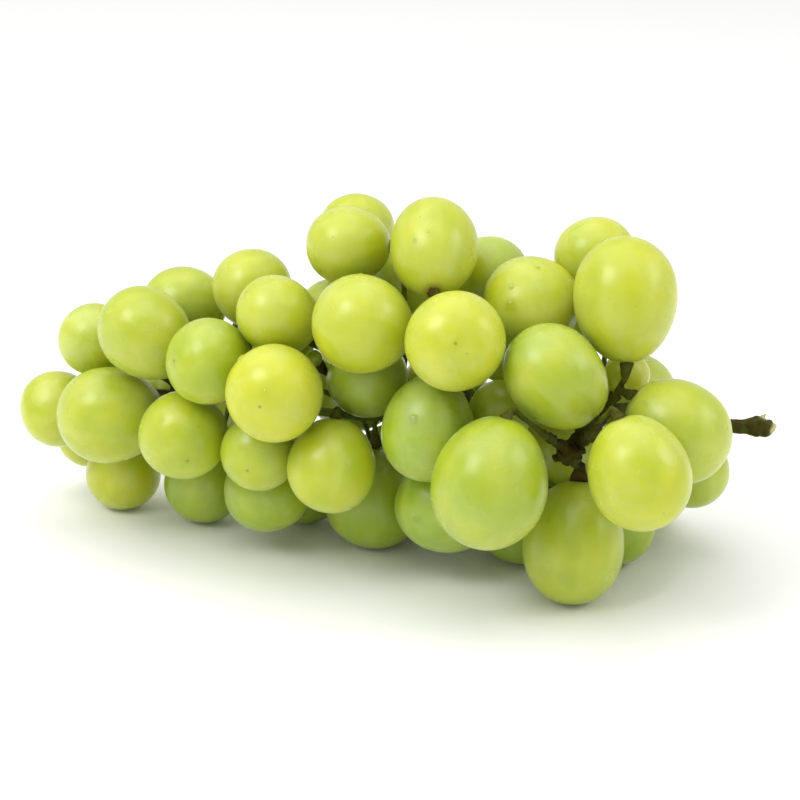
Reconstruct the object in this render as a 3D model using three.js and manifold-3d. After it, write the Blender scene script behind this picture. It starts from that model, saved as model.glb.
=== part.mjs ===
// A bunch of pale green table grapes, lying on its side with the cut stalk at the +X end.
// Millimetres, +Z up, the table at z = 0, the origin under the middle of the bunch. Every
// grape is a solid of its own, and the woody stem with all its side branches is one more.

import * as THREE from 'three';
import { mergeVertices } from 'three/addons/utils/BufferGeometryUtils.js';
import Module from 'manifold-3d';

const wasm = await Module();
wasm.setup();

// Driving dimensions of the grapes.
const pieceGap = 0.35;            // least gap between two pieces
const berrySides = 12;            // facets round a grape
const berryBands = 7;             // facets from its stalk end to its flower end
const eggShare = 0.07;            // how much fuller a grape is towards its flower end
const settleRounds = 400;         // passes that push overlapping grapes apart
const easeRounds = 120;           // passes that ease side stalks and grapes round each other

// Driving dimensions of the stem.
const stalkRadius = 1.55;         // the main stalk
const stalkSides = 10;
const stalkStep = 5;              // length of one facet of the main stalk
const pedicelRadius = 0.75;       // the short stalk of a single grape
const pedicelSides = 5;
const pedicelStep = 4;
const loadPower = 0.2;            // how a side stalk thickens with the grapes that it carries
const collarRadius = 1.9;         // the swollen collar where a grape sits on its stalk
const collarLength = 1.6;
const pegRadius = 0.6;            // the little peg on the broken end
const brokenStep = 1;             // length of one facet of the broken end
const neckLength = 2.5;           // a side stalk leaves its grape straight for this length
const knuckleRadius = 2.3;        // the woody swelling among the front grapes
const gridStep = 2;               // spacing of the grid on which the side stalks find their way
const comfort = 1.3;              // clearance below which a side stalk looks for another way
const deepest = -3.5;             // a side stalk may push a grape aside by this much
const openAir = 6;                // side stalks don't stray this far from the grapes
const crowding = 4;               // how much dearer each millimetre of lost clearance is
const nudge = 0.15;               // the grape's share when a stalk and a grape move apart

const skinGreen = 0xb4c83c;
const shadedGreen = 0x93aa1e;
const stemBrown = 0x5a4a22;

// The grapes, by the part of the bunch they belong to. at is the centre (x along the bunch,
// y to the back, z up), size is girth and length, and tip is the way the flower end points
// where it isn't simply away from the stalk. Grapes with rests lie on the table.
const clusters = {
  tip: [
    { at: [-85, 6, 27], size: [18, 18] },
    { at: [-86, 25, 14], size: [16, 16] },
    { at: [-76, 8, 44], size: [17, 17] },
    { at: [-73, 15, 9], size: [18, 18], rests: true },
    { at: [-68, -4, 30], size: [22, 25], tip: [-4, -1, 0] },
    { at: [-58, -4, 50], size: [20, 23], tip: [-4, 0, 3] },
    { at: [-56, 15, 52], size: [18, 20], tip: [-4, -1, 0] },
  ],
  lower: [
    { at: [-51, 11, 10], size: [19, 20], rests: true },
    { at: [-31, -2, 15], size: [20, 20] },
    { at: [-28, 17, 9], size: [19, 19], rests: true },
    { at: [-8, 8, 12], size: [23, 24], rests: true },
    { at: [14, -6, 17], size: [22, 22] },
    { at: [26, 5, 10], size: [20, 20], rests: true },
    { at: [33, 24, 9], size: [17, 17], rests: true },
    { at: [46, 11, 10], size: [20, 20], rests: true },
    { at: [42, -12, 13], size: [22, 27], tip: [0, -1, -3], rests: true },
    { at: [62, 23, 20], size: [17, 18] },
  ],
  front: [
    { at: [-47, -12, 30], size: [20, 20] },
    { at: [-39, -14, 48], size: [19, 19], tip: [-3, -4, 1] },
    { at: [-28, -14, 28], size: [17, 17], tip: [0, -5, -1] },
    { at: [-22, -22, 45], size: [21, 21], tip: [0, -1, 0] },
    { at: [-11, -18, 28], size: [19, 21], tip: [0, -1, -3] },
    { at: [-9, -4, 43], size: [18, 18] },
    { at: [11, -16, 37], size: [20, 23], tip: [0, -1, -3] },
    { at: [24, -5, 39], size: [14, 14] },
    { at: [27, -30, 32], size: [24, 28], tip: [-1, -2, -6] },
    { at: [37, -14, 51], size: [20, 24], tip: [-1, 0, 1] },
    { at: [58, -25, 36], size: [21, 24], tip: [4, -2, -9] },
    { at: [62, -5, 37], size: [21, 24], tip: [4, 0, -3] },
    { at: [34, 13, 26], size: [18, 18] },
    { at: [62, 13, 32], size: [16, 16] },
  ],
  top: [
    { at: [-37, 8, 59], size: [18, 18] },
    { at: [-25, -9, 58], size: [17, 19], tip: [-3, -2, 3] },
    { at: [-17, 6, 55], size: [16, 16] },
    { at: [-15, 19, 71], size: [17, 17] },
    { at: [-10, 3, 72], size: [17, 19], tip: [-4, -1, 0] },
    { at: [-4, -15, 59], size: [21, 22], tip: [-5, -3, 2] },
    { at: [4, 0, 73], size: [19, 24], tip: [-1, 4, 3] },
    { at: [17, 16, 62], size: [18, 19] },
    { at: [17, -20, 59], size: [21, 21], tip: [1, -4, 1] },
    { at: [29, 2, 61], size: [21, 21] },
    { at: [40, 17, 69], size: [18, 18] },
    { at: [49, -2, 65], size: [22, 27], tip: [-1, 3, 9] },
    { at: [49, 6, 46], size: [10, 10] },
  ],
  back: [
    { at: [-64, 22, 24], size: [21, 21] },
    { at: [-41, 21, 25], size: [21, 22] },
    { at: [-36, 23, 46], size: [20, 21] },
    { at: [-19, 32, 29], size: [22, 23] },
    { at: [-16, 23, 45], size: [20, 21] },
    { at: [-10, 28, 11], size: [22, 22], rests: true },
    { at: [-3, 17, 58], size: [19, 20] },
    { at: [3, 27, 31], size: [21, 22] },
    { at: [13, 28, 11], size: [22, 22], rests: true },
    { at: [28, 33, 28], size: [21, 22] },
    { at: [20, 26, 46], size: [21, 21] },
    { at: [40, 33, 55], size: [21, 22] },
    { at: [50, 34, 11], size: [21, 21], rests: true },
    { at: [47, 31, 33], size: [20, 21] },
  ],
  unripe: [
    { at: [-18, -3, 47], size: [4, 4] },
  ],
};

// The main stalk from its cut end to the far end of the bunch, and a side branch that swells
// into a knuckle among the front grapes.
const mainStalk = [
  [78, 23, 31],
  [68, 22, 31],
  [56, 17, 35],
  [46, 6, 38],
  [34, 3, 37],
  [22, 8, 38],
  [8, 5, 36],
  [-8, 9, 31],
  [-22, 8, 31],
  [-44, 7, 33],
  [-57, 7, 34],
];
const knuckle = [40, -8, 32];
const knuckleBranch = [[46, 6, 38], [44, -1, 37], knuckle];

// The broken end of the main stalk: a slanting beak, and a short peg beside it.
const beak = [[74, 23, 31], [77.5, 23, 31], [81, 23.5, 30.8]];
const peg = [[77, 23, 31.5], [78, 23.3, 33], [78.6, 23.5, 34.4]];

function vector([x, y, z]) {
  return new THREE.Vector3(x, y, z);
}

function curveThrough(places) {
  return new THREE.CatmullRomCurve3(places, false, 'centripetal');
}

// A grape's outline from its stalk end (y below 0) to its flower end.
function eggProfile(girth, length) {
  const points = [];
  for (let band = 0; band <= berryBands; band += 1) {
    const turn = (band / berryBands) * Math.PI;
    const fullness = 1 - eggShare * Math.cos(turn);
    const onAxis = band === 0 || band === berryBands;
    const radius = onAxis ? 0 : (girth / 2) * Math.sin(turn) * fullness;
    points.push(new THREE.Vector2(radius, (-length / 2) * Math.cos(turn)));
  }
  return points;
}

// How far a grape reaches from its centre in a direction of length 1.
function reach(berry, direction) {
  const along = direction.dot(berry.axis);
  const across = Math.sqrt(Math.max(0, 1 - along * along));
  return Math.max(...berry.profile.map((point) => point.x * across + point.y * along));
}

// The direction and the length of the way from a grape's centre to a place.
function wayTo(berry, place) {
  const direction = place.clone().sub(berry.place);
  const distance = direction.length();
  return { direction: direction.divideScalar(distance), distance };
}

const mainCurve = curveThrough(mainStalk.map(vector));
const branchCurve = curveThrough(knuckleBranch.map(vector));
const stalkPoints = [...mainCurve.getSpacedPoints(90), ...branchCurve.getSpacedPoints(12)];

function nearestStalkPoint(place) {
  return stalkPoints.reduce((best, point) =>
    (point.distanceToSquared(place) < best.distanceToSquared(place) ? point : best));
}

function makeBerry(clusterName, entry, index) {
  const place = vector(entry.at);
  const away = place.clone().sub(nearestStalkPoint(place));
  return {
    name: `berry_${clusterName}_${index + 1}`,
    place,
    axis: (entry.tip ? vector(entry.tip) : away).normalize(),
    profile: eggProfile(...entry.size),
    hasTip: Boolean(entry.tip),
    rests: Boolean(entry.rests),
  };
}

const berries = Object.entries(clusters).flatMap(([clusterName, entries]) =>
  entries.map((entry, index) => makeBerry(clusterName, entry, index)));

// Pushes two overlapping grapes apart by the same amount each.
function partPair(first, second) {
  const { direction, distance } = wayTo(first, second.place);
  const needed = reach(first, direction) + reach(second, direction.clone().negate()) + pieceGap;
  const overlap = Math.max(0, needed - distance);
  first.place.addScaledVector(direction, -overlap / 2);
  second.place.addScaledVector(direction, overlap / 2);
}

function clearOfStalk(berry) {
  for (const point of stalkPoints) {
    const { direction, distance } = wayTo(berry, point);
    const overlap = Math.max(0, reach(berry, direction) + stalkRadius + pieceGap - distance);
    berry.place.addScaledVector(direction, -overlap / 2);
  }
}

const down = new THREE.Vector3(0, 0, -1);

function settleBerries() {
  berries.forEach(clearOfStalk);
  berries.forEach((first, index) => {
    berries.slice(index + 1).forEach((second) => partPair(first, second));
  });
  for (const berry of berries) {
    const lowest = reach(berry, down);
    berry.place.z = berry.rests ? lowest : Math.max(lowest, berry.place.z);
  }
}

for (let round = 0; round < settleRounds; round += 1) {
  settleBerries();
}

// The free space between the grapes is searched on a grid, outwards from the main stalk, so
// that every grape's stalk takes the shortest way and neighbours share their branches.
const gridCorner = new THREE.Vector3(-104, -52, -6);
const gridCounts = [100, 56, 52];

function cellPlace(cell) {
  const [countX, countY] = gridCounts;
  const layer = Math.floor(cell / (countX * countY));
  const row = Math.floor(cell / countX) - layer * countY;
  return new THREE.Vector3(cell % countX, row, layer).multiplyScalar(gridStep).add(gridCorner);
}

function cellAt(place) {
  const steps = place.clone().sub(gridCorner).divideScalar(gridStep).round();
  return steps.x + gridCounts[0] * (steps.y + gridCounts[1] * steps.z);
}

// The distance from a place to the nearest grape's skin, negative inside a grape.
function clearance(place) {
  const gaps = berries.map((berry) => {
    const { direction, distance } = wayTo(berry, place);
    return distance - reach(berry, direction);
  });
  return Math.min(...gaps);
}

function gridMoves() {
  const moves = [];
  for (let index = 0; index < 27; index += 1) {
    const [x, y, z] = [index % 3, Math.floor(index / 3) % 3, Math.floor(index / 9)].map((n) => n - 1);
    const shift = x + gridCounts[0] * (y + gridCounts[1] * z);
    moves.push({ shift, length: gridStep * Math.hypot(x, y, z) });
  }
  return moves;
}

function searchFreeSpace() {
  const cellTotal = gridCounts.reduce((product, count) => product * count);
  const price = new Float64Array(cellTotal);
  for (let cell = 0; cell < cellTotal; cell += 1) {
    const free = clearance(cellPlace(cell));
    const closed = free < deepest || free > openAir;
    price[cell] = closed ? Infinity : 1 + crowding * Math.max(0, comfort - free);
  }
  const cost = new Float64Array(cellTotal).fill(Infinity);
  const cameFrom = new Int32Array(cellTotal).fill(-1);
  const waiting = [[]];
  for (const point of stalkPoints) {
    cost[cellAt(point)] = 0;
    waiting[0].push({ cell: cellAt(point), reached: 0 });
  }
  const moves = gridMoves();
  for (let level = 0; level < waiting.length; level += 1) {
    for (const { cell, reached } of waiting[level] ?? []) {
      for (const { shift, length } of reached > cost[cell] ? [] : moves) {
        const next = cell + shift;
        const total = reached + length * (price[next] ?? Infinity);
        if (total < (cost[next] ?? 0)) {
          cost[next] = total;
          cameFrom[next] = cell;
          waiting[Math.floor(total)] ??= [];
          waiting[Math.floor(total)].push({ cell: next, reached: total });
        }
      }
    }
  }
  return { cost, cameFrom };
}

const { cost: wayCost, cameFrom } = searchFreeSpace();

// The place on a grape's axis that lies beyond its stalk end by a given length.
function stalkEnd(berry, beyond) {
  return berry.place.clone().addScaledVector(berry.axis, berry.profile[0].y - beyond);
}

// The best cell from which to reach a grape: near its stalk end where its tip is given, and
// anywhere round it where it isn't.
function arrivalCell(berry) {
  const middle = berry.hasTip ? stalkEnd(berry, neckLength) : berry.place;
  const span = berry.hasTip ? 2 : 7;
  let best = { score: Infinity };
  for (let x = -span; x <= span; x += 1) {
    for (let y = -span; y <= span; y += 1) {
      for (let z = -span; z <= span; z += 1) {
        const cell = cellAt(middle.clone().addScaledVector(vector([x, y, z]), gridStep));
        const place = cellPlace(cell);
        const { direction, distance } = wayTo(berry, place);
        const offSkin = Math.abs(distance - reach(berry, direction) - gridStep);
        const offAxis = berry.hasTip ? place.distanceTo(middle) : 0;
        const score = wayCost[cell] + crowding * (offSkin + offAxis);
        best = score < best.score ? { cell, score } : best;
      }
    }
  }
  return best.cell;
}

// The side stalks are a tree of nodes, rooted on the main stalk and its knuckle branch.
const cellNodes = new Map();

function nodeAt(cell) {
  if (!cellNodes.has(cell)) {
    const node = { place: cellPlace(cell), parent: null, children: [], load: 0 };
    cellNodes.set(cell, node);
    if (cameFrom[cell] < 0) {
      node.place = nearestStalkPoint(node.place).clone();
    } else {
      node.parent = nodeAt(cameFrom[cell]);
      node.parent.children.push(node);
    }
  }
  return cellNodes.get(cell);
}

function hangOn(parent, berry, beyond) {
  const node = { place: stalkEnd(berry, beyond), parent, children: [], load: 0, berry, beyond };
  parent.children.push(node);
  return node;
}

const berryNodes = berries.flatMap((berry) => {
  const arrival = nodeAt(arrivalCell(berry));
  if (!berry.hasTip) {
    berry.axis = berry.place.clone().sub(arrival.place).normalize();
  }
  const neck = hangOn(arrival, berry, neckLength);
  const collar = hangOn(neck, berry, pieceGap);
  for (let node = collar; node; node = node.parent) {
    node.load += 1;
  }
  return [neck, collar];
});
const treeNodes = [...cellNodes.values(), ...berryNodes];

function nodeRadius(node) {
  return pedicelRadius * node.load ** loadPower;
}

function easeNode(node) {
  if (node.berry) {
    node.place = stalkEnd(node.berry, node.beyond);
  } else if (node.parent) {
    const middle = new THREE.Vector3();
    node.children.forEach((child) => middle.add(child.place));
    middle.divideScalar(node.children.length).add(node.parent.place).divideScalar(2);
    node.place.lerp(middle, 0.3);
  }
  for (const berry of berries.filter((other) => other !== node.berry)) {
    const { direction, distance } = wayTo(berry, node.place);
    const overlap = Math.max(0, reach(berry, direction) + nodeRadius(node) + pieceGap - distance);
    berry.place.addScaledVector(direction, -nudge * overlap);
    if (node.parent && !node.berry) {
      node.place.addScaledVector(direction, (1 - nudge) * overlap);
    }
  }
}

for (let round = 0; round < easeRounds; round += 1) {
  treeNodes.forEach(easeNode);
  settleBerries();
}

// A closed tube round a curve: a cylinder whose rings are carried along it. radiusAt gives the
// tube's radius a given way along, from 0 to 1.
function tube(curve, radiusAt, sides, stepLength) {
  const steps = Math.max(2, Math.round(curve.getLength() / stepLength));
  const geometry = new THREE.CylinderGeometry(1, 1, 1, sides, steps);
  const frames = curve.computeFrenetFrames(steps, false);
  const position = geometry.getAttribute('position');
  for (let index = 0; index < position.count; index += 1) {
    const along = position.getY(index) + 0.5;
    const step = Math.round(along * steps);
    const radius = radiusAt(along);
    const place = curve.getPointAt(Math.min(1, Math.max(0, along)));
    place.addScaledVector(frames.normals[step], -radius * position.getX(index));
    place.addScaledVector(frames.binormals[step], radius * position.getZ(index));
    position.setXYZ(index, place.x, place.y, place.z);
  }
  return geometry;
}

function ball(place, radius, detail) {
  return new THREE.IcosahedronGeometry(radius, detail).translate(place.x, place.y, place.z);
}

function solid(geometry) {
  const bare = geometry.clone();
  bare.deleteAttribute('normal');
  bare.deleteAttribute('uv');
  const merged = mergeVertices(bare);
  const vertProperties = new Float32Array(merged.getAttribute('position').array);
  const triVerts = new Uint32Array(merged.index.array);
  return new wasm.Manifold(new wasm.Mesh({ numProp: 3, vertProperties, triVerts }));
}

function geometryOf(manifold) {
  const mesh = manifold.getMesh();
  const geometry = new THREE.BufferGeometry();
  geometry.setAttribute('position', new THREE.BufferAttribute(mesh.vertProperties, 3));
  geometry.setIndex(new THREE.BufferAttribute(mesh.triVerts, 1));
  return geometry;
}

// One unforked run of the tree, from a fork down to its last node, with a flared collar at
// the end that holds a grape.
function runTube(start, first) {
  const run = [start, first];
  while (run.at(-1).children.length === 1) {
    run.push(run.at(-1).children[0]);
  }
  const curve = curveThrough(run.map((node) => node.place));
  const radius = nodeRadius(first);
  const collarShare = collarLength / curve.getLength();
  const holdsGrape = run.at(-1).berry !== undefined;
  const flare = (along) => Math.max(0, (along - 1 + collarShare) / collarShare);
  const radiusAt = (along) => radius + (holdsGrape ? (collarRadius - radius) * flare(along) ** 2 : 0);
  return tube(curve, radiusAt, pedicelSides, pedicelStep);
}

function stemGeometry() {
  const stalkTaper = (along) => stalkRadius * (1 + 0.12 * Math.sin(along * 40) - 0.25 * along);
  const beakTaper = (along) => 1.6 + 1.2 * Math.sin(Math.PI * along) - 0.9 * along;
  const shapes = [
    tube(mainCurve, stalkTaper, stalkSides, stalkStep),
    tube(branchCurve, () => stalkRadius, stalkSides, stalkStep),
    ball(vector(knuckle), knuckleRadius, 1),
    tube(curveThrough(beak.map(vector)), beakTaper, stalkSides, brokenStep),
    tube(curveThrough(peg.map(vector)), () => pegRadius, pedicelSides, brokenStep),
  ];
  for (const node of treeNodes) {
    if (!node.parent || node.children.length > 1) {
      node.children.forEach((child) => shapes.push(runTube(node, child)));
      shapes.push(ball(node.place, nodeRadius(node) * 1.3, 0));
    }
  }
  return geometryOf(shapes.map(solid).reduce((whole, shape) => whole.add(shape)));
}

function material(color, roughness) {
  return new THREE.MeshStandardMaterial({ color, roughness, metalness: 0 });
}

const bunch = new THREE.Group();
for (const berry of berries) {
  const geometry = new THREE.LatheGeometry(berry.profile, berrySides);
  const color = berry.place.z < 32 ? shadedGreen : skinGreen;
  const mesh = new THREE.Mesh(geometry, material(color, 0.35));
  mesh.name = berry.name;
  mesh.position.copy(berry.place);
  mesh.quaternion.setFromUnitVectors(new THREE.Vector3(0, 1, 0), berry.axis);
  bunch.add(mesh);
}
const stem = new THREE.Mesh(stemGeometry(), material(stemBrown, 0.8));
stem.name = 'stem';
bunch.add(stem);

// The origin goes to the middle of the bunch, at the height of the table.
const outline = new THREE.Box3().setFromObject(bunch, true);
const middle = outline.getCenter(new THREE.Vector3());
bunch.position.set(-middle.x, -middle.y, -outline.min.z);

const object = new THREE.Group();
object.add(bunch);

export default object;
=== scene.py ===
# A bunch of pale green table grapes, lying on a white table with its cut stalk at the +X end.
# Metres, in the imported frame. Each grape and the stem take their place from the CAD solid
# that they stand for, and a few drops of water sit on the skins.
import math
import random

import bmesh
import bpy
from mathutils import Matrix, Vector, noise
from mathutils.bvhtree import BVHTree
from mathutils.kdtree import KDTree


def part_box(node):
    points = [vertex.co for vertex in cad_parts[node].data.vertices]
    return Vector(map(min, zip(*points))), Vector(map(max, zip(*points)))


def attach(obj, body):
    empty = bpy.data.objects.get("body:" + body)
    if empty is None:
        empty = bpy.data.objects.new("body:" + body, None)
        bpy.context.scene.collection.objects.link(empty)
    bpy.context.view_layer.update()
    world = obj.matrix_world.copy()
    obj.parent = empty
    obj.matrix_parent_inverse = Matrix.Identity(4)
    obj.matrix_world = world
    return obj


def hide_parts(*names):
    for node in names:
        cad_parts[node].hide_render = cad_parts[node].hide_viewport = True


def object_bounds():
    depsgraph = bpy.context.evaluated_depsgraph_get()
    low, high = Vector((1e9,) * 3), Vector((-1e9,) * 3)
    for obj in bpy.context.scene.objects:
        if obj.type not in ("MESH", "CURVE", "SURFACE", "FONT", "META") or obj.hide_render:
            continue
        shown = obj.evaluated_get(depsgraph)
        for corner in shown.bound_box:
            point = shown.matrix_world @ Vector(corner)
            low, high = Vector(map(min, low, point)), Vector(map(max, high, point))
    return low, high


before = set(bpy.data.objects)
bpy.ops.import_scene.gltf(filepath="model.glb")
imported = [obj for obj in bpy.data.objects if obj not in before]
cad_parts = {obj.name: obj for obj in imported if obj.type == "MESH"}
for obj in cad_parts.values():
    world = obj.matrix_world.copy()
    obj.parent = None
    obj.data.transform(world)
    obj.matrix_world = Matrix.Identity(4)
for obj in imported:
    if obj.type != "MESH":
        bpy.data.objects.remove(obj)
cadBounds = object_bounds()
mm = 0.001
samePoint = 0.001 * mm  # corners closer than this are one corner


def linearColour(sRgbHex):
    channels = [int(sRgbHex[at:at + 2], 16) / 255 for at in (1, 3, 5)]
    bright = [c / 12.92 if c < 0.04045 else ((c + 0.055) / 1.055) ** 2.4 for c in channels]
    return (*bright, 1)


def addNode(material, kind, settings=None, inputs=None):
    # an input's value is a colour or number, or the output of another node to link to it
    node = material.node_tree.nodes.new("ShaderNode" + kind)
    for name, value in (settings or {}).items():
        setattr(node, name, value)
    for name, value in (inputs or {}).items():
        if isinstance(value, bpy.types.NodeSocket):
            material.node_tree.links.new(value, node.inputs[name])
        else:
            node.inputs[name].default_value = value
    return node


def newMaterial(name):
    material = bpy.data.materials.new(name)
    material.use_nodes = True
    material.node_tree.nodes.clear()
    return material


def finishMaterial(material, shader):
    addNode(material, "OutputMaterial", inputs={"Surface": shader.outputs[0]})
    return material


def newPiece(name, shape, material):
    mesh = bpy.data.meshes.new(name)
    shape.to_mesh(mesh)
    shape.free()
    mesh.materials.append(material)
    piece = bpy.data.objects.new(name, mesh)
    bpy.context.scene.collection.objects.link(piece)
    return piece


def softStep(value, low, high):
    # 0 at low and 1 at high, which may be the smaller of the two
    share = min(max((value - low) / (high - low), 0), 1)
    return share * share * (3 - 2 * share)


# the grapes
grapeLook = {
    "sides": 72,               # faces round a grape
    "rings": 48,               # rings from its stalk end to its flower end
    "crowding": 0.25,          # how much closer the rings are towards both ends
    "facetShare": 0.99,        # the CAD solid's flat facets make it this much narrower
    "eggShare": 0.07,          # how much fuller it is towards its flower end
    "wobble": 0.22 * mm,       # how far it strays from a perfect egg
    "wobbleSize": 11 * mm,
    "dimpleDepth": 0.35 * mm,  # where the stalk comes out of the skin
    "dimpleWidth": 2.3 * mm,
    "scarDepth": 0.16 * mm,    # where the flower was
    "scarWidth": 0.9 * mm,
    "fullGirth": 18 * mm,      # on a smaller grape all of these are shallower
    "veinStretch": 6,          # how much longer than wide the veins are
    "unlike": 0.1,             # how far two grapes of one cluster may differ
    # how ripe each cluster is, from 0, green, to 1, golden, and how much bloom it has kept; the
    # lower cluster's low values also paint shade: its grapes are made greener and less waxy
    # where the bunch shades them
    "ripenessAndShade": {"tip": 0.6, "lower": 0.2, "front": 0.5, "top": 0.65, "back": 0.45, "unripe": 0},
    "bloomAndShade": {"tip": 0.6, "lower": 0.25, "front": 0.4, "top": 0.55, "back": 0.45, "unripe": 0.3},
    # the grapes that are riper, greener or dustier than their cluster
    "ownRipeness": {
        "front_4": 0.95, "front_6": 0.2, "front_7": 0.25, "front_8": 0.45, "front_9": 0.45,
        "front_11": 0.75, "front_12": 0.65, "lower_9": 0.6, "lower_10": 0.55, "top_6": 0.8,
        "top_8": 0.45, "top_9": 0.85, "top_12": 0.7},
    "ownBloom": {"tip_1": 0.95, "tip_3": 0.95, "top_1": 0.85, "top_11": 0.95, "front_7": 0.7},
    "greenFlesh": "#84A204", "ripeFlesh": "#BEC20A", "veins": "#DCE38A", "wax": "#D3DDAE",
    "specks": "#7A6A2A", "scar": "#6E5E26", "stalkRing": "#A9A648", "down": "#EEF3D0",
}


def makeGrapeSkin():
    # Thin waxed skin over clear wet flesh: light sinks in and comes back yellower, the wax
    # bloom clouds it in patches, and a soft gloss lies on top.
    look = grapeLook
    skin = newMaterial("waxedGrapeSkin")
    place = addNode(skin, "TexCoord").outputs["Object"]
    # each grape's ripeness and wax share, both lowered on the lower cluster to paint the shade
    # beneath the bunch
    ripe = addNode(skin, "Attribute", {"attribute_name": "ripenessAndShade"}).outputs["Fac"]
    fromStalk = addNode(skin, "Attribute", {"attribute_name": "fromStalk"}).outputs["Fac"]
    fromFlower = addNode(skin, "Attribute", {"attribute_name": "fromFlower"}).outputs["Fac"]
    along = addNode(skin, "Attribute", {"attribute_name": "alongVeins"}).outputs["Vector"]
    bloomAndShade = addNode(skin, "Attribute", {"attribute_name": "bloomAndShade"}).outputs["Fac"]

    # flesh: riper and greener patches about 8 mm wide, and pale veins from end to end
    patches = addNode(skin, "TexNoise", inputs={
        "Vector": place, "Scale": 1 / (8 * mm), "Detail": 2, "Roughness": 0.5})
    ripeHere = addNode(skin, "MapRange", inputs={
        "Value": patches.outputs["Fac"], "From Min": 0.3, "From Max": 0.7,
        "To Min": -0.16, "To Max": 0.16})
    ripenessAndShade = addNode(skin, "Math", {"operation": "ADD", "use_clamp": True}, {
        0: ripe, 1: ripeHere.outputs[0]})
    flesh = addNode(skin, "Mix", {"data_type": "RGBA"}, {
        0: ripenessAndShade.outputs[0], 6: linearColour(look["greenFlesh"]),
        7: linearColour(look["ripeFlesh"])})
    veins = addNode(skin, "TexNoise", inputs={
        "Vector": along, "Scale": 1 / (3.2 * mm), "Detail": 1.5, "Roughness": 0.45})
    veinShare = addNode(skin, "MapRange", inputs={
        "Value": veins.outputs["Fac"], "From Min": 0.45, "From Max": 0.75,
        "To Min": 0, "To Max": 0.12})
    veined = addNode(skin, "Mix", {"data_type": "RGBA"}, {
        0: veinShare.outputs[0], 6: flesh.outputs[2], 7: linearColour(look["veins"])})

    # bloom: the pale film of wax, rubbed away in places about 10 mm wide
    film = addNode(skin, "TexNoise", inputs={
        "Vector": place, "Scale": 1 / (11 * mm), "Detail": 4, "Roughness": 0.55})
    filmKept = addNode(skin, "MapRange", {"interpolation_type": "SMOOTHSTEP"}, {
        "Value": film.outputs["Fac"], "From Min": 0.36, "From Max": 0.66,
        "To Min": 0.02, "To Max": 0.26})
    filmShare = addNode(skin, "Math", {"operation": "MULTIPLY"}, {
        0: filmKept.outputs[0], 1: bloomAndShade})
    bloomed = addNode(skin, "Mix", {"data_type": "RGBA"}, {
        0: filmShare.outputs[0], 6: veined.outputs[2], 7: linearColour(look["wax"])})

    # corky specks about 0.4 mm wide, a few on each grape
    specks = addNode(skin, "TexVoronoi", inputs={"Vector": place, "Scale": 1 / (6 * mm)})
    speckShare = addNode(skin, "MapRange", {"interpolation_type": "SMOOTHSTEP"}, {
        "Value": specks.outputs["Distance"], "From Min": 0.02, "From Max": 0.045,
        "To Min": 0.6, "To Max": 0})
    specked = addNode(skin, "Mix", {"data_type": "RGBA"}, {
        0: speckShare.outputs[0], 6: bloomed.outputs[2], 7: linearColour(look["specks"])})

    # the corky spot at the flower end, and the paler, browner skin round the stalk
    scarShare = addNode(skin, "MapRange", {"interpolation_type": "SMOOTHSTEP"}, {
        "Value": fromFlower, "From Min": 0.2 * mm, "From Max": 0.5 * mm,
        "To Min": 0.6, "To Max": 0})
    scarred = addNode(skin, "Mix", {"data_type": "RGBA"}, {
        0: scarShare.outputs[0], 6: specked.outputs[2], 7: linearColour(look["scar"])})
    ringShare = addNode(skin, "MapRange", {"interpolation_type": "SMOOTHSTEP"}, {
        "Value": fromStalk, "From Min": 1.9 * mm, "From Max": 3.2 * mm,
        "To Min": 0.7, "To Max": 0})
    coloured = addNode(skin, "Mix", {"data_type": "RGBA"}, {
        0: ringShare.outputs[0], 6: scarred.outputs[2], 7: linearColour(look["stalkRing"])})

    roughness = addNode(skin, "MapRange", inputs={
        "Value": filmShare.outputs[0], "From Min": 0, "From Max": 0.4,
        "To Min": 0.24, "To Max": 0.4})
    pores = addNode(skin, "TexNoise", inputs={
        "Vector": place, "Scale": 1 / (1.6 * mm), "Detail": 3, "Roughness": 0.6})
    relief = addNode(skin, "Bump", inputs={
        "Height": pores.outputs["Fac"], "Strength": 0.25, "Distance": 0.05 * mm})
    shader = addNode(skin, "BsdfPrincipled", {"subsurface_method": "RANDOM_WALK"}, {
        "Base Color": coloured.outputs[2], "Roughness": roughness.outputs[0],
        "IOR": 1.4, "Subsurface Weight": 0.92, "Subsurface Radius": (1.0, 0.9, 0.15),
        "Subsurface Scale": 15 * mm, "Coat Weight": 0.6, "Coat Roughness": 0.5,
        "Coat IOR": 1.55, "Sheen Weight": 0.06, "Sheen Roughness": 0.3,
        "Sheen Tint": linearColour(look["down"]), "Normal": relief.outputs[0]})
    return finishMaterial(skin, shader)


def readGrape(node, stemPoints):
    # a solid's two ends are the corners where the most edges meet
    solid = bmesh.new()
    solid.from_mesh(node.data)
    bmesh.ops.remove_doubles(solid, verts=solid.verts, dist=samePoint)
    ends = sorted(solid.verts, key=lambda corner: -len(corner.link_edges))[:2]
    ends.sort(key=lambda corner: stemPoints.find(corner.co)[2])
    stalkEnd, flowerEnd = (corner.co.copy() for corner in ends)
    length = (flowerEnd - stalkEnd).length
    axis = (flowerEnd - stalkEnd) / length
    widest = max((corner.co - stalkEnd).cross(axis).length for corner in solid.verts)
    solid.free()
    return {"stalkEnd": stalkEnd, "centre": (stalkEnd + flowerEnd) / 2, "axis": axis,
            "length": length, "girth": 2 * widest / grapeLook["facetShare"]}


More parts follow.
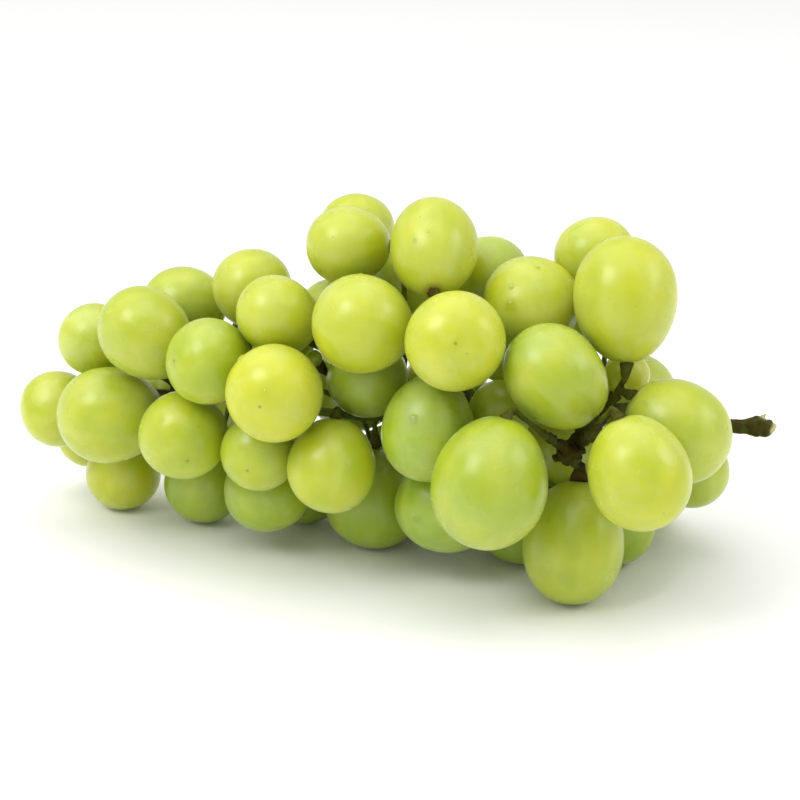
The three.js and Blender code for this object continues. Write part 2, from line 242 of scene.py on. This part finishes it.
def makeGrape(name, facts, ripenessAndShade, bloomAndShade, skin):
    look = grapeLook
    shape = bmesh.new()
    bmesh.ops.create_uvsphere(
        shape, u_segments=look["sides"], v_segments=look["rings"], radius=1)
    ripeLayer = shape.verts.layers.float.new("ripenessAndShade")
    bloomLayer = shape.verts.layers.float.new("bloomAndShade")
    stalkLayer = shape.verts.layers.float.new("fromStalk")
    flowerLayer = shape.verts.layers.float.new("fromFlower")
    veinLayer = shape.verts.layers.float_vector.new("alongVeins")
    turnUpright = facts["axis"].to_track_quat("Z", "Y")
    small = min(facts["girth"] / look["fullGirth"], 1)
    for point in shape.verts:
        turn = math.acos(min(max(-point.co.z, -1), 1))
        turn -= look["crowding"] * math.sin(2 * turn)
        around = Vector((point.co.x, point.co.y, 0))
        isEnd = around.length < 1e-6
        around = Vector() if isEnd else around.normalized()
        girth = facts["girth"] / 2 * math.sin(turn) * (1 - look["eggShare"] * math.cos(turn))
        height = -facts["length"] / 2 * math.cos(turn)
        fromStalk = math.hypot(girth, height + facts["length"] / 2)
        fromFlower = math.hypot(girth, facts["length"] / 2 - height)
        height += small * look["dimpleDepth"] * math.exp(-(fromStalk / look["dimpleWidth"]) ** 2)
        height -= small * look["scarDepth"] * math.exp(-(fromFlower / look["scarWidth"]) ** 2)
        local = around * girth + Vector((0, 0, height))
        place = facts["centre"] + turnUpright @ local
        stray = noise.noise(place / look["wobbleSize"]) * small * look["wobble"]
        place += (place - facts["centre"]).normalized() * stray
        place.z = max(place.z, 0)  # a grape on the table rests on a small flat
        point.co = place
        # ripeness and wax share, lowered on the lower cluster as painted shade
        point[ripeLayer] = ripenessAndShade
        point[bloomLayer] = bloomAndShade
        point[stalkLayer] = fromStalk
        point[flowerLayer] = fromFlower
        point[veinLayer] = facts["centre"] + Vector((
            local.x, local.y, local.z / look["veinStretch"]))
    for face in shape.faces:
        face.smooth = True
    piece = newPiece("grape_" + name, shape, skin)
    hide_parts("berry_" + name)
    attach(piece, "root")
    return piece


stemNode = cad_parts["stem"]
stemPoints = KDTree(len(stemNode.data.vertices))
for index, corner in enumerate(stemNode.data.vertices):
    stemPoints.insert(corner.co, index)
stemPoints.balance()

random.seed(17)
grapeSkin = makeGrapeSkin()
grapes = {}
grapePieces = {}
for nodeName in sorted(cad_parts):
    if not nodeName.startswith("berry_"):
        continue
    grapeName = nodeName[len("berry_"):]
    grapes[grapeName] = readGrape(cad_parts[nodeName], stemPoints)
    cluster = grapeName.rsplit("_", 1)[0]
    # the lower cluster's values are painted shade: greener flesh and less pale wax under the
    # bunch
    ripenessAndShade = grapeLook["ownRipeness"].get(grapeName, grapeLook["ripenessAndShade"][cluster])
    ripenessAndShade += random.uniform(-1, 1) * grapeLook["unlike"]
    bloomAndShade = grapeLook["ownBloom"].get(grapeName, grapeLook["bloomAndShade"][cluster])
    bloomAndShade += random.uniform(-1, 1) * grapeLook["unlike"]
    grapePieces[grapeName] = makeGrape(
        grapeName, grapes[grapeName], ripenessAndShade, bloomAndShade, grapeSkin)
print(f"grapes: {len(grapes)} made")


# the stem
stemLook = {
    "voxel": 0.34 * mm,
    "smoothing": 3,            # passes that round the facets away
    "crispEnd": 5 * mm,        # the broken end keeps its edges over this length
    "widest": 8 * mm,          # no part of the stem is thicker
    "thinStalk": 1.5 * mm,     # width where none can be measured
    "lump": 0.16 * mm,         # swellings along the bark
    "lumpSize": 3.2 * mm,
    "ridge": 0.07 * mm,        # fine wrinkles of the dry skin
    "ridgeSize": 0.9 * mm,
    "gnarl": 1.0 * mm,         # extra lumps round the knuckle, where the stem is woody
    "gnarlSize": 1.3 * mm,
    "swelling": 0.45 * mm,     # how much thicker the branches are near the knuckle
    "splinter": 0.8 * mm,      # raggedness of the broken end
    "splinterSize": 1.3 * mm,
    "splinterZone": (6 * mm, 3 * mm),   # from the end: where it starts, where it is full
    "cutZone": (2.1 * mm, 0.9 * mm),    # from a tip: how far the fresh wood shows
    # the knuckle among the front grapes, and the snags on it
    "knuckleWidth": 4 * mm,    # only the knuckle and the forks of the main stalk are thicker
    "knuckleClear": 6 * mm,    # and it is at least this far from a grape's collar
    "knuckleZone": (16 * mm, 4 * mm),
    "snags": 26,
    "snagSides": 8,
    "snagRadius": 0.5 * mm,
    "snagTaper": 0.7,
    "snagRoot": 1 * mm,        # how deep it is set into the knuckle
    "snagLength": (0.6 * mm, 2.8 * mm),
    # the collars that the grapes sit on
    "collarZone": (5 * mm, 2 * mm),
    "collarReach": 0.7 * mm,   # how far a collar is drawn onto its grape
    "collarDepth": (2.2 * mm, 0.5 * mm),
    "collarWidth": 2.6 * mm,
    # how far the bark has turned from green to brown: everywhere, and what is added where
    # the stem is old and thick, and near a grape
    "youngWood": 0.4, "oldWood": 0.6, "collarWood": 0.4,
    "oldWidth": (1.9 * mm, 3.4 * mm),
    "greenBark": ("#4E6412", "#7F8C2A"), "brownBark": ("#1C1602", "#4E480E"),
    "dots": "#2A1C06", "freshWood": "#CDBE90",
}


def makeStemWood():
    # Fresh vine shoot: smooth and green where it is young, olive brown and rough where it has
    # turned to wood, and pale and fibrous where it was broken.
    look = stemLook
    wood = newMaterial("youngVineWood")
    place = addNode(wood, "TexCoord").outputs["Object"]
    woody = addNode(wood, "Attribute", {"attribute_name": "woodiness"}).outputs["Fac"]
    fresh = addNode(wood, "Attribute", {"attribute_name": "freshCut"}).outputs["Fac"]
    patches = addNode(wood, "TexNoise", inputs={
        "Vector": place, "Scale": 1 / (4 * mm), "Detail": 4, "Roughness": 0.6})
    patchShift = addNode(wood, "MapRange", inputs={
        "Value": patches.outputs["Fac"], "From Min": 0.3, "From Max": 0.7,
        "To Min": -0.35, "To Max": 0.35})
    woodShare = addNode(wood, "Math", {"operation": "ADD", "use_clamp": True}, {
        0: woody, 1: patchShift.outputs[0]})
    green, brown = [addNode(wood, "Mix", {"data_type": "RGBA"}, {
        0: patches.outputs["Fac"], 6: linearColour(dark), 7: linearColour(pale)})
        for dark, pale in (look["greenBark"], look["brownBark"])]
    bark = addNode(wood, "Mix", {"data_type": "RGBA"}, {
        0: woodShare.outputs[0], 6: green.outputs[2], 7: brown.outputs[2]})
    dots = addNode(wood, "TexVoronoi", inputs={"Vector": place, "Scale": 1 / (1.3 * mm)})
    dotShare = addNode(wood, "MapRange", {"interpolation_type": "SMOOTHSTEP"}, {
        "Value": dots.outputs["Distance"], "From Min": 0.12, "From Max": 0.26,
        "To Min": 0.6, "To Max": 0})
    dotted = addNode(wood, "Mix", {"data_type": "RGBA"}, {
        0: dotShare.outputs[0], 6: bark.outputs[2], 7: linearColour(look["dots"])})
    coloured = addNode(wood, "Mix", {"data_type": "RGBA"}, {
        0: fresh, 6: dotted.outputs[2], 7: linearColour(look["freshWood"])})
    grain = addNode(wood, "TexNoise", inputs={
        "Vector": place, "Scale": 1 / (0.5 * mm), "Detail": 4, "Roughness": 0.65})
    relief = addNode(wood, "Bump", inputs={
        "Height": grain.outputs["Fac"], "Strength": 0.6, "Distance": 0.12 * mm})
    roughness = addNode(wood, "MapRange", inputs={
        "Value": woodShare.outputs[0], "To Min": 0.45, "To Max": 0.75})
    shader = addNode(wood, "BsdfPrincipled", inputs={
        "Base Color": coloured.outputs[2], "Roughness": roughness.outputs[0], "IOR": 1.5,
        "Specular IOR Level": 0.15, "Normal": relief.outputs[0]})
    return finishMaterial(wood, shader)


def stemCopy(node):
    shape = bmesh.new()
    shape.from_mesh(node.data)
    bmesh.ops.remove_doubles(shape, verts=shape.verts, dist=samePoint)
    shape.normal_update()
    return shape


def widths(shape):
    # how thick the stem is at each point: the way through it to the other side
    walls = BVHTree.FromBMesh(shape)
    justInside = 0.05 * mm
    return [walls.ray_cast(point.co - point.normal * justInside, -point.normal,
                           stemLook["widest"])[3] or stemLook["thinStalk"]
            for point in shape.verts]


def findKnuckle(shape, collars):
    # the middle of the thick place that is nearest the front
    look = stemLook
    thickest = [
        point.co for point, width in zip(shape.verts, widths(shape))
        if width > look["knuckleWidth"] and collars.find(point.co)[2] > look["knuckleClear"]]
    front = min(thickest, key=lambda place: place.y)
    return front + Vector((0, look["knuckleWidth"] / 2, 0))


def addSnags(shape, knuckle):
    # short broken side stalks that stand out of the knuckle
    look = stemLook
    for _ in range(look["snags"]):
        outward = Vector([random.uniform(-1, 1) for _ in range(3)]).normalized()
        length = random.uniform(*look["snagLength"])
        middle = knuckle + outward * (look["knuckleWidth"] / 2 + length / 2 - look["snagRoot"])
        turned = outward.to_track_quat("Z", "Y").to_matrix().to_4x4()
        bmesh.ops.create_cone(
            shape, cap_ends=True, segments=look["snagSides"], radius1=look["snagRadius"],
            radius2=look["snagRadius"] * look["snagTaper"], depth=length + look["snagRoot"],
            matrix=Matrix.Translation(middle) @ turned)


def evenSkin(shape, voxel):
    # one closed skin of small, even faces over everything in the shape
    mesh = bpy.data.meshes.new("roughStem")
    shape.to_mesh(mesh)
    shape.free()
    copy = bpy.data.objects.new("roughStem", mesh)
    bpy.context.scene.collection.objects.link(copy)
    skin = copy.modifiers.new("evenSkin", "REMESH")
    skin.mode = "VOXEL"
    skin.voxel_size = voxel
    ready = copy.evaluated_get(bpy.context.evaluated_depsgraph_get())
    fine = bmesh.new()
    fine.from_mesh(ready.data)
    bpy.data.objects.remove(copy)
    bpy.data.meshes.remove(mesh)
    keepLargest(fine)
    return fine


def keepLargest(shape):
    # drops the small closed bubbles that overlapping parts leave inside the skin
    seen = set()
    islands = []
    for start in shape.verts:
        if start in seen:
            continue
        seen.add(start)
        island = [start]
        for point in island:
            for edge in point.link_edges:
                other = edge.other_vert(point)
                if other not in seen:
                    seen.add(other)
                    island.append(other)
        islands.append(island)
    islands.sort(key=len)
    bubbles = [point for island in islands[:-1] for point in island]
    bmesh.ops.delete(shape, geom=bubbles, context="VERTS")


def brokenTips(shape, endX):
    # the end of the beak, and the highest point of the peg beside it
    beakTip = max(shape.verts, key=lambda point: point.co.x).co.copy()
    brokenEnd = [point for point in shape.verts
                 if point.co.x > endX - stemLook["splinterZone"][0]]
    pegTip = max(brokenEnd, key=lambda point: point.co.z).co.copy()
    return [beakTip, pegTip]


def collarTree():
    collars = KDTree(len(grapes))
    for index, grape in enumerate(grapes.values()):
        collars.insert(grape["stalkEnd"], index)
    collars.balance()
    return collars


def shapeBark(shape, knuckle, collars):
    look = stemLook
    facts = list(grapes.values())
    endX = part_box("stem")[1].x
    shape.normal_update()
    woodLayer = shape.verts.layers.float.new("woodiness")
    cutLayer = shape.verts.layers.float.new("freshCut")
    tips = brokenTips(shape, endX)
    moves = []
    for point, width in zip(shape.verts, widths(shape)):
        _, index, away = collars.find(point.co)
        nearGrape = softStep(away, *look["collarZone"])
        nearKnuckle = softStep((point.co - knuckle).length, *look["knuckleZone"])
        nearEnd = softStep(endX - point.co.x, *look["splinterZone"])
        thick = softStep(width, *look["oldWidth"]) * (1 - nearGrape)
        point[woodLayer] = (
            look["youngWood"] + look["oldWood"] * max(thick, nearKnuckle)
            + look["collarWood"] * nearGrape)
        point[cutLayer] = max(
            softStep((point.co - tip).length, *look["cutZone"]) for tip in tips)
        lump = noise.noise(point.co / look["lumpSize"]) * look["lump"]
        lump += noise.noise(point.co / look["ridgeSize"]) * look["ridge"]
        lump += noise.noise(point.co / look["gnarlSize"]) * look["gnarl"] * nearKnuckle
        lump += look["swelling"] * nearKnuckle
        lump += noise.noise(point.co / look["splinterSize"]) * look["splinter"] * nearEnd
        move = point.normal * lump
        axis = facts[index]["axis"]
        toCollar = facts[index]["stalkEnd"] - point.co
        if toCollar.cross(axis).length < look["collarWidth"]:
            drawn = softStep(toCollar.dot(axis), *look["collarDepth"])
            move += axis * look["collarReach"] * drawn
        moves.append(move)
    for point, move in zip(shape.verts, moves):
        point.co += move
        point.co.x = min(point.co.x, endX)


def makeStem(wood):
    look = stemLook
    collars = collarTree()
    shape = stemCopy(stemNode)
    knuckle = findKnuckle(shape, collars)
    addSnags(shape, knuckle)
    shape = evenSkin(shape, look["voxel"])
    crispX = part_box("stem")[1].x - look["crispEnd"]
    for _ in range(look["smoothing"]):
        bmesh.ops.smooth_vert(
            shape, verts=[point for point in shape.verts if point.co.x < crispX],
            factor=0.5, use_axis_x=True, use_axis_y=True, use_axis_z=True)
    shapeBark(shape, knuckle, collars)
    for face in shape.faces:
        face.smooth = True
    piece = newPiece("stemBark", shape, wood)
    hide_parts("stem")
    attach(piece, "root")
    return piece


stemPiece = makeStem(makeStemWood())
print(f"stem: {len(stemPiece.data.polygons)} faces")


# the water
dropletLook = {
    "flatness": 0.45,          # how high a drop stands, against its radius
    "fineness": 4,             # how often its facets are divided
    # the grape it sits on, how far right and up of its middle as seen from the camera, in
    # grape radii, and its own radius
    "drops": [
        ("front_7", -0.33, 0.22, 1.1 * mm), ("front_7", -0.62, 0.66, 0.9 * mm),
        ("front_4", -0.14, 0.03, 0.45 * mm), ("front_4", -0.68, 0.70, 0.9 * mm),
        ("front_1", -0.36, 0.30, 0.6 * mm), ("front_12", -0.66, 0.52, 0.6 * mm),
        ("top_10", -0.44, 0.34, 0.8 * mm), ("top_10", -0.46, -0.04, 1.2 * mm),
        ("lower_5", -0.58, -0.28, 0.8 * mm), ("front_9", -0.46, 0.78, 0.7 * mm),
        ("top_7", -0.15, 0.32, 0.5 * mm), ("top_7", -0.44, 0.12, 0.6 * mm),
        ("top_6", -0.05, 0.97, 0.6 * mm), ("front_10", 0.80, -0.52, 0.7 * mm),
    ],
}


def makeWater():
    # Clear still water: it bends the light and carries one small bright reflection.
    water = newMaterial("clearWater")
    place = addNode(water, "TexCoord").outputs["Object"]
    ripple = addNode(water, "TexNoise", inputs={"Vector": place, "Scale": 1 / (2 * mm)})
    relief = addNode(water, "Bump", inputs={
        "Height": ripple.outputs["Fac"], "Strength": 0.1, "Distance": 0.05 * mm})
    shader = addNode(water, "BsdfPrincipled", inputs={
        "Base Color": linearColour("#FCFFFA"), "Roughness": 0.02, "IOR": 1.333,
        "Transmission Weight": 1, "Normal": relief.outputs[0]})
    return finishMaterial(water, shader)


def makeDroplets(water):
    front = towards(stageLook["cameraAzimuth"], stageLook["cameraHeight"])
    right = Vector((0, 0, 1)).cross(front).normalized()
    up = front.cross(right)
    shape = bmesh.new()
    for grape, aside, above, radius in dropletLook["drops"]:
        outward = right * aside + up * above
        outward += front * math.sqrt(max(1 - outward.length_squared, 0))
        middle = grapes[grape]["centre"]
        skin = bmesh.new()
        skin.from_mesh(grapePieces[grape].data)
        seat, normal, _, _ = BVHTree.FromBMesh(skin).ray_cast(middle, outward)
        skin.free()
        lie = Matrix.Translation(seat) @ normal.to_track_quat("Z", "Y").to_matrix().to_4x4()
        size = Matrix.Diagonal((radius, radius, radius * dropletLook["flatness"], 1))
        bmesh.ops.create_icosphere(
            shape, subdivisions=dropletLook["fineness"], radius=1, matrix=lie @ size)
    for face in shape.faces:
        face.smooth = True
    piece = newPiece("waterDroplets", shape, water)
    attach(piece, "root")


# the table, the light and the camera
stageLook = {
    "floorSize": 6.0,
    "floorColours": ("#F2F2F0", "#F6F6F5"),
    "white": 0.72,             # brightness of the white room all round
    "softboxes": {             # azimuth and height in degrees, distance, size and power
        "ceilingSoftbox": (-60, 78, 1.7, 2.4, 24),
        "keySoftbox": (-39, 45, 0.8, 0.34, 2.0),
        "sideSoftbox": (95, 34, 0.7, 0.26, 0.7),
    },
    "cameraAzimuth": 15, "cameraHeight": 18, "cameraFar": 0.45, "lens": 91.1,
    "clipStart": 0.01,
    "aim": Vector((6.7, -1.4, -4.0)) * mm,  # from the middle of the bunch
}


def towards(azimuth, height):
    turn, tilt = math.radians(azimuth), math.radians(height)
    return Vector((
        math.sin(turn) * math.cos(tilt), -math.cos(turn) * math.cos(tilt), math.sin(tilt)))


def makeFloor():
    shape = bmesh.new()
    bmesh.ops.create_grid(shape, x_segments=8, y_segments=8, size=stageLook["floorSize"] / 2)
    # Matt white laminate board: almost even, with a very faint cloudiness.
    board = newMaterial("mattWhiteLaminate")
    place = addNode(board, "TexCoord").outputs["Object"]
    clouds = addNode(board, "TexNoise", inputs={"Vector": place, "Scale": 3, "Detail": 2})
    dim, bright = (linearColour(colour) for colour in stageLook["floorColours"])
    cloudy = addNode(board, "Mix", {"data_type": "RGBA"}, {
        0: clouds.outputs["Fac"], 6: dim, 7: bright})
    shader = addNode(board, "BsdfPrincipled", inputs={
        "Base Color": cloudy.outputs[2], "Roughness": 0.7})
    floor = newPiece("floor", shape, finishMaterial(board, shader))


def addSoftbox(name, middle, azimuth, height, far, size, power):
    lamp = bpy.data.lights.new(name, "AREA")
    lamp.shape = "SQUARE"
    lamp.size = size
    lamp.energy = power
    box = bpy.data.objects.new(name, lamp)
    direction = towards(azimuth, height)
    box.location = middle + direction * far
    box.rotation_euler = direction.to_track_quat("Z", "Y").to_euler()
    bpy.context.scene.collection.objects.link(box)


def addCamera(middle):
    lens = bpy.data.cameras.new("camera")
    lens.lens = stageLook["lens"]
    lens.clip_start = stageLook["clipStart"]
    camera = bpy.data.objects.new("camera", lens)
    direction = towards(stageLook["cameraAzimuth"], stageLook["cameraHeight"])
    camera.location = middle + stageLook["aim"] + direction * stageLook["cameraFar"]
    camera.rotation_euler = direction.to_track_quat("Z", "Y").to_euler()
    bpy.context.scene.collection.objects.link(camera)
    bpy.context.scene.camera = camera


makeDroplets(makeWater())
print(f"water: {len(dropletLook['drops'])} droplets")
middle = (Vector(cadBounds[0]) + Vector(cadBounds[1])) / 2
makeFloor()
for name, settings in stageLook["softboxes"].items():
    addSoftbox(name, middle, *settings)
addCamera(middle)
room = bpy.data.worlds.new("whiteRoom")
room.use_nodes = True
room.node_tree.nodes["Background"].inputs["Color"].default_value = (1, 1, 1, 1)
room.node_tree.nodes["Background"].inputs["Strength"].default_value = stageLook["white"]
bpy.context.scene.world = room
bpy.context.scene.view_settings.view_transform = "Standard"
print(f"stage: table, {len(stageLook['softboxes'])} softboxes and camera")
